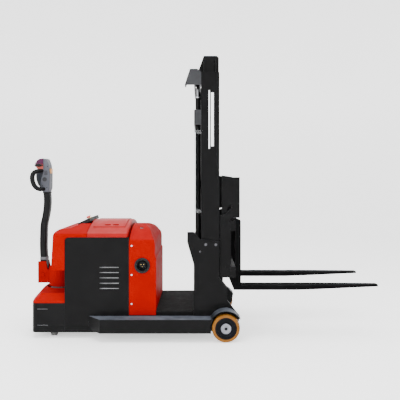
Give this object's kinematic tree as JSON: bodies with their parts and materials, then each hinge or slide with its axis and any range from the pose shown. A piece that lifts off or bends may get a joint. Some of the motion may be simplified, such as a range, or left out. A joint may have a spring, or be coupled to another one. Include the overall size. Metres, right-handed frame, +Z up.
{
  "type": "walkie stacker",
  "caption": "Pedestrian electric pallet stacker with a two-stage mast, forks on a carriage, straddle legs with load wheels, a battery housing and a steering tiller.",
  "frame": {"origin": "centre of the bounding box's length and width, on the floor under the wheels", "axes": "+X towards the fork tips, +Y to the far side of the truck, +Z up"},
  "size_m": [2.77, 0.856, 2.195],
  "materials": {
    "red_shell": "moulded red cover, semi-gloss",
    "black_steel": "black powder coat, satin",
    "deck_black": "black anti-slip deck coating",
    "tie_grey": "dark grey powder coat",
    "hub_steel": "turned steel end cap",
    "zinc_steel": "zinc-plated steel",
    "roller_steel": "hardened steel rollers",
    "chain_steel": "oiled leaf chain",
    "chrome_rod": "hard-chromed rod",
    "amber_tyre": "amber polyurethane tread",
    "drive_tyre": "dark polyurethane tread",
    "caster_tyre": "black rubber tread",
    "rim_black": "black painted casting",
    "drive_cast": "painted gear housing and motor",
    "arm_black": "black coated casting",
    "head_grey": "grey moulded housing",
    "cap_red": "red moulded cap",
    "belly_dark": "dark plum button",
    "grip_black": "soft black grip",
    "rocker_orange": "orange rocker",
    "estop_red": "red mushroom button",
    "console_black": "black moulded plastic",
    "battery_grey": "dark grey moulded case",
    "clear_guard": "clear polycarbonate sheet"
  },
  "bodies": {
    "chassis": {"legs": "black_steel", "fenders": "black_steel", "load_axles": "hub_steel", "chassis_rails": "black_steel", "deck": "deck_black", "mast_foot": "black_steel", "side_panels": "black_steel", "skirt": "black_steel", "drive_hood": "red_shell", "turntable": "black_steel", "rear_cover": "red_shell", "front_cover": "red_shell", "charge_port": "console_black", "instrument_panel": "console_black", "battery": "battery_grey", "hydraulic_pack": "battery_grey", "motor_controller": "console_black", "outer_channels": "black_steel", "mast_ties": "tie_grey", "mast_gussets": "black_steel", "guard_panel": "clear_guard", "lift_cylinders": "black_steel", "fasteners": "zinc_steel", "chains_rear": "chain_steel"},
    "load_wheel_near": {"load_tyre_near": "amber_tyre", "load_rim_near": "rim_black"},
    "load_wheel_far": {"load_tyre_far": "amber_tyre", "load_rim_far": "rim_black"},
    "steering": {"drive_unit": "drive_cast", "tiller_mount": "red_shell"},
    "drive_roll": {"drive_wheel": "drive_tyre"},
    "tiller": {"tiller_arm": "arm_black", "tiller_head": "head_grey", "tiller_cap": "cap_red", "grip_loops": "grip_black"},
    "throttle_bar": {"throttle": "grip_black"},
    "belly_switch": {"belly_button": "belly_dark"},
    "lift_switch": {"lift_rocker": "rocker_orange"},
    "caster_swivel_near": {"caster_fork_near": "zinc_steel"},
    "caster_swivel_far": {"caster_fork_far": "zinc_steel"},
    "caster_roll_near": {"caster_wheel_near": "caster_tyre"},
    "caster_roll_far": {"caster_wheel_far": "caster_tyre"},
    "lid": {"battery_lid": "red_shell"},
    "estop": {"estop_button": "estop_red"},
    "key_switch": {"key": "zinc_steel"},
    "mast_stage": {"inner_beams": "black_steel", "inner_ties": "black_steel", "inner_head": "black_steel", "lift_rods": "chrome_rod", "chains_front": "chain_steel"},
    "carriage": {"carriage_frame": "black_steel", "fork_bars": "black_steel", "backrest": "black_steel"},
    "fork_slide_near": {"fork_near": "black_steel"},
    "fork_slide_far": {"fork_far": "black_steel"},
    "roller_outer": {"outer_rollers": "roller_steel"},
    "roller_inner": {"inner_rollers": "roller_steel"},
    "roller_low": {"carriage_rollers_low": "roller_steel"},
    "roller_high": {"carriage_rollers_high": "roller_steel"},
    "pulleys": {"chain_pulleys": "roller_steel"}
  },
  "joints": [
    {"name": "mast_lift", "type": "slide", "parent": "chassis", "child": "mast_stage", "axis": [0, 0, 1], "range_m": [-0.15, 1.3], "deforming": ["chains_rear"]},
    {"name": "carriage_lift", "type": "slide", "parent": "mast_stage", "child": "carriage", "axis": [0, 0, 1], "range_m": [-0.15, 1.3], "deforming": ["chains_front"]},
    {"name": "steer", "type": "hinge", "parent": "chassis", "child": "steering", "pos_m": [-1.15, 0, 0.3], "axis": [0, 0, 1], "range_deg": [-65, 65]},
    {"name": "drive_spin", "type": "hinge", "parent": "steering", "child": "drive_roll", "pos_m": [-1.15, 0, 0.115], "axis": [0, 1, 0], "continuous": true},
    {"name": "tiller_tilt", "type": "hinge", "parent": "steering", "child": "tiller", "pos_m": [-1.3, 0, 0.43], "axis": [0, -1, 0], "range_deg": [0, 80], "stiffness_Nm_per_rad": 55, "springref_deg": -14.32},
    {"name": "throttle_twist", "type": "hinge", "parent": "tiller", "child": "throttle_bar", "pos_m": [-1.33, 0, 1.334], "axis": [0, 1, 0], "range_deg": [-25, 25], "stiffness_Nm_per_rad": 0.6},
    {"name": "belly_push", "type": "slide", "parent": "tiller", "child": "belly_switch", "axis": [1, 0, 0], "range_m": [0, 0.008], "stiffness_N_per_m": 500, "springref_m": -0.003},
    {"name": "lift_rock", "type": "hinge", "parent": "tiller", "child": "lift_switch", "pos_m": [-1.25, 0, 1.287], "axis": [0, 1, 0], "range_deg": [-8, 8], "stiffness_Nm_per_rad": 0.5},
    {"name": "load_spin_near", "type": "hinge", "parent": "chassis", "child": "load_wheel_near", "pos_m": [0.194, -0.39, 0.105], "axis": [0, 1, 0], "continuous": true},
    {"name": "load_spin_far", "type": "hinge", "parent": "chassis", "child": "load_wheel_far", "pos_m": [0.194, 0.39, 0.105], "axis": [0, 1, 0], "continuous": true},
    {"name": "caster_swivel_near", "type": "hinge", "parent": "chassis", "child": "caster_swivel_near", "pos_m": [-1.135, -0.222, 0.15], "axis": [0, 0, 1], "continuous": true},
    {"name": "caster_swivel_far", "type": "hinge", "parent": "chassis", "child": "caster_swivel_far", "pos_m": [-1.135, 0.222, 0.15], "axis": [0, 0, 1], "continuous": true},
    {"name": "caster_spin_near", "type": "hinge", "parent": "caster_swivel_near", "child": "caster_roll_near", "pos_m": [-1.135, -0.252, 0.05], "axis": [1, 0, 0], "continuous": true},
    {"name": "caster_spin_far", "type": "hinge", "parent": "caster_swivel_far", "child": "caster_roll_far", "pos_m": [-1.135, 0.252, 0.05], "axis": [1, 0, 0], "continuous": true},
    {"name": "lid_open", "type": "hinge", "parent": "chassis", "child": "lid", "pos_m": [-0.71, 0.334, 0.776], "axis": [-1, 0, 0], "range_deg": [0, 100]},
    {"name": "estop_press", "type": "slide", "parent": "chassis", "child": "estop", "axis": [0.4233, 0, -0.906], "range_m": [0, 0.005]},
    {"name": "key_turn", "type": "hinge", "parent": "chassis", "child": "key_switch", "pos_m": [-0.94687, 0.07, 0.88192], "axis": [-0.4233, 0, 0.906], "range_deg": [0, 90]},
    {"name": "fork_shift_near", "type": "slide", "parent": "carriage", "child": "fork_slide_near", "axis": [0, 1, 0], "range_m": [0, 0.13]},
    {"name": "fork_shift_far", "type": "slide", "parent": "carriage", "child": "fork_slide_far", "axis": [0, -1, 0], "range_m": [0, 0.13]},
    {"name": "outer_roller_spin", "type": "hinge", "parent": "chassis", "child": "roller_outer", "pos_m": [0.079, 0, 1.98], "axis": [0, 1, 0], "continuous": true},
    {"name": "inner_roller_spin", "type": "hinge", "parent": "mast_stage", "child": "roller_inner", "pos_m": [0.079, 0, 0.3], "axis": [0, 1, 0], "continuous": true},
    {"name": "low_roller_spin", "type": "hinge", "parent": "carriage", "child": "roller_low", "pos_m": [0.079, 0, 0.55], "axis": [0, 1, 0], "continuous": true},
    {"name": "high_roller_spin", "type": "hinge", "parent": "carriage", "child": "roller_high", "pos_m": [0.079, 0, 0.7], "axis": [0, 1, 0], "continuous": true},
    {"name": "pulley_spin", "type": "hinge", "parent": "mast_stage", "child": "pulleys", "pos_m": [0.045, 0, 2.045], "axis": [0, 1, 0], "continuous": true}
  ],
  "couplings": [
    {"joint": "carriage_lift", "follows": "mast_lift", "ratio": 1},
    {"joint": "outer_roller_spin", "follows": "mast_lift", "rad_per_m": 25},
    {"joint": "inner_roller_spin", "follows": "mast_lift", "rad_per_m": 18.182},
    {"joint": "low_roller_spin", "follows": "mast_lift", "rad_per_m": 25},
    {"joint": "high_roller_spin", "follows": "mast_lift", "rad_per_m": 25},
    {"joint": "pulley_spin", "follows": "mast_lift", "rad_per_m": 22.222}
  ]
}
